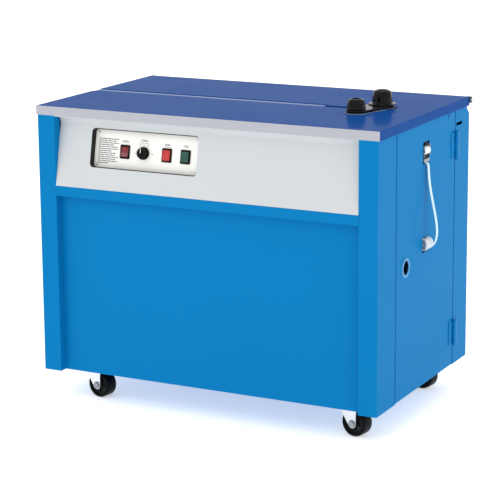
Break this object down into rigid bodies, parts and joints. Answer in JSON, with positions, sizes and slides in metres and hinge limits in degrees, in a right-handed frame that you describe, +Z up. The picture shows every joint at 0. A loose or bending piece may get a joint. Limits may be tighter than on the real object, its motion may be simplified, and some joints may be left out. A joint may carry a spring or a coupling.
{
  "type": "semi automatic strapping machine",
  "caption": "High table strapping machine: cabinet on swivel castors with a sloped control console, strap slot, package guide, hinged rear lid and side door with strap rollers",
  "frame": {"origin": "on the floor, under the middle of the table", "axes": "+X along the table towards the side with the strap rollers, +Y from the operator's side to the rear, +Z up"},
  "size_m": [0.9211, 0.565, 0.772],
  "materials": {
    "casing_blue": "satin powder coat",
    "table_blue": "gloss enamel",
    "console_grey": "satin powder coat",
    "trim_grey": "satin",
    "plate_cream": "printed panel",
    "black_steel": "black oxide",
    "black_plastic": "moulded",
    "red_dark": "moulded",
    "red_bright": "moulded",
    "green_dark": "moulded",
    "white_nylon": "turned nylon",
    "strap_white": "embossed polypropylene band",
    "bright_steel": "zinc plated",
    "motor_grey": "painted casting",
    "wheel_black": "hard rubber tread",
    "belt_black": "rubber belt",
    "board_green": "glass fibre laminate",
    "hinge_blue": "painted"
  },
  "bodies": {
    "root": {"base_frame": "casing_blue", "left_side_panel": "casing_blue", "right_front_column": "casing_blue", "right_rear_column": "casing_blue", "front_header_rail": "casing_blue", "front_panel": "casing_blue", "rear_panel": "casing_blue", "console_panel": "console_grey", "control_box": "black_steel", "control_plate": "plate_cream", "switch_frames": "black_plastic", "front_table": "table_blue", "table_front_trim": "trim_grey", "strap_channel": "bright_steel", "strap_channel_cover": "bright_steel", "lid_hinge_fixed_leaf": "black_steel", "hinge_pins": "bright_steel", "guide_wear_plate": "bright_steel", "guide_base": "black_plastic", "front_guide_post": "black_plastic", "rear_guide_post": "black_plastic", "guide_screws": "bright_steel", "door_hinge_fixed_leaves": "hinge_blue", "castor_plates": "bright_steel", "reel_stand": "black_steel", "inner_shelf": "bright_steel", "mechanism_frame": "bright_steel", "drive_motor": "motor_grey", "drive_belt": "belt_black", "circuit_board": "board_green", "cable_gland": "black_plastic"},
    "rear_lid": {"rear_lid": "table_blue", "lid_hinge_moving_leaf": "black_steel"},
    "side_door": {"side_door": "casing_blue", "door_hinge_moving_leaves": "hinge_blue", "door_latch": "casing_blue", "roller_bracket": "bright_steel", "roller_pins": "bright_steel", "strap": "strap_white"},
    "upper_roller": {"upper_roller": "white_nylon"},
    "lower_roller": {"lower_roller": "white_nylon"},
    "strap_reel": {"reel_inner_flange": "black_plastic", "reel_outer_flange": "black_plastic", "strap_coil": "strap_white"},
    "camshaft": {"camshaft": "bright_steel"},
    "motor_pulley": {"motor_pulley": "bright_steel"},
    "press_block": {"press_block": "bright_steel"},
    "heater_blade": {"heater_blade": "bright_steel"},
    "power_rocker": {"power_rocker": "red_dark"},
    "reset_button": {"reset_button": "red_bright"},
    "feed_button": {"feed_button": "green_dark"},
    "control_knob": {"control_knob": "black_plastic"},
    "castor_front_left": {"castor_fork_front_left": "bright_steel"},
    "wheel_front_left": {"castor_wheel_front_left": "wheel_black"},
    "castor_front_right": {"castor_fork_front_right": "bright_steel"},
    "wheel_front_right": {"castor_wheel_front_right": "wheel_black"},
    "castor_rear_left": {"castor_fork_rear_left": "bright_steel"},
    "wheel_rear_left": {"castor_wheel_rear_left": "wheel_black"},
    "castor_rear_right": {"castor_fork_rear_right": "bright_steel"},
    "wheel_rear_right": {"castor_wheel_rear_right": "wheel_black"}
  },
  "joints": [
    {"name": "lid_hinge", "type": "hinge", "parent": "root", "child": "rear_lid", "pos_m": [0, 0.2765, 0.723], "axis": [-1, 0, 0], "range_deg": [0, 85]},
    {"name": "door_hinge", "type": "hinge", "parent": "root", "child": "side_door", "pos_m": [0.449, 0.1832, 0.39], "axis": [0, 0, 1], "range_deg": [0, 110]},
    {"name": "upper_roller_spin", "type": "hinge", "parent": "side_door", "child": "upper_roller", "pos_m": [0.44, 0, 0.641], "axis": [0, 1, 0], "continuous": true},
    {"name": "lower_roller_spin", "type": "hinge", "parent": "side_door", "child": "lower_roller", "pos_m": [0.4445, 0, 0.419], "axis": [0, 1, 0], "continuous": true},
    {"name": "reel_spin", "type": "hinge", "parent": "root", "child": "strap_reel", "pos_m": [0.11, 0, 0.306], "axis": [0, 1, 0], "continuous": true},
    {"name": "camshaft_spin", "type": "hinge", "parent": "root", "child": "camshaft", "pos_m": [0.225, 0, 0.618], "axis": [0, 1, 0], "continuous": true},
    {"name": "motor_spin", "type": "hinge", "parent": "root", "child": "motor_pulley", "pos_m": [-0.07, 0, 0.612], "axis": [0, 1, 0], "continuous": true},
    {"name": "press_lift", "type": "slide", "parent": "root", "child": "press_block", "axis": [0, 0, 1], "range_m": [0, 0.008]},
    {"name": "heater_swing", "type": "slide", "parent": "root", "child": "heater_blade", "axis": [0, -1, 0], "range_m": [0, 0.006]},
    {"name": "power_rocker_tilt", "type": "hinge", "parent": "root", "child": "power_rocker", "pos_m": [-0.222, -0.24771, 0.62792], "axis": [1, 0, 0], "range_deg": [0, 10]},
    {"name": "reset_press", "type": "slide", "parent": "root", "child": "reset_button", "axis": [0, 0.9806, -0.1959], "range_m": [0, 0.0025], "stiffness_N_per_m": 400},
    {"name": "feed_press", "type": "slide", "parent": "root", "child": "feed_button", "axis": [0, 0.9806, -0.1959], "range_m": [0, 0.0025], "stiffness_N_per_m": 400},
    {"name": "control_knob_turn", "type": "hinge", "parent": "root", "child": "control_knob", "pos_m": [-0.171, -0.24771, 0.62792], "axis": [0, -0.9806, 0.1959], "range_deg": [-150, 150]},
    {"name": "castor_front_left_swivel", "type": "hinge", "parent": "root", "child": "castor_front_left", "pos_m": [-0.344, -0.205, 0.068], "axis": [0, 0, 1], "continuous": true},
    {"name": "wheel_front_left_spin", "type": "hinge", "parent": "castor_front_left", "child": "wheel_front_left", "pos_m": [-0.32437, -0.20882, 0.0325], "axis": [0.1908, 0.9816, 0], "continuous": true},
    {"name": "castor_front_right_swivel", "type": "hinge", "parent": "root", "child": "castor_front_right", "pos_m": [0.344, -0.205, 0.068], "axis": [0, 0, 1], "continuous": true},
    {"name": "wheel_front_right_spin", "type": "hinge", "parent": "castor_front_right", "child": "wheel_front_right", "pos_m": [0.36363, -0.20882, 0.0325], "axis": [0.1908, 0.9816, 0], "continuous": true},
    {"name": "castor_rear_left_swivel", "type": "hinge", "parent": "root", "child": "castor_rear_left", "pos_m": [-0.344, 0.205, 0.068], "axis": [0, 0, 1], "continuous": true},
    {"name": "wheel_rear_left_spin", "type": "hinge", "parent": "castor_rear_left", "child": "wheel_rear_left", "pos_m": [-0.32437, 0.20118, 0.0325], "axis": [0.1908, 0.9816, 0], "continuous": true},
    {"name": "castor_rear_right_swivel", "type": "hinge", "parent": "root", "child": "castor_rear_right", "pos_m": [0.344, 0.205, 0.068], "axis": [0, 0, 1], "continuous": true},
    {"name": "wheel_rear_right_spin", "type": "hinge", "parent": "castor_rear_right", "child": "wheel_rear_right", "pos_m": [0.36363, 0.20118, 0.0325], "axis": [0.1908, 0.9816, 0], "continuous": true}
  ],
  "couplings": [
    {"joint": "camshaft_spin", "follows": "motor_spin", "ratio": 0.4326}
  ]
}
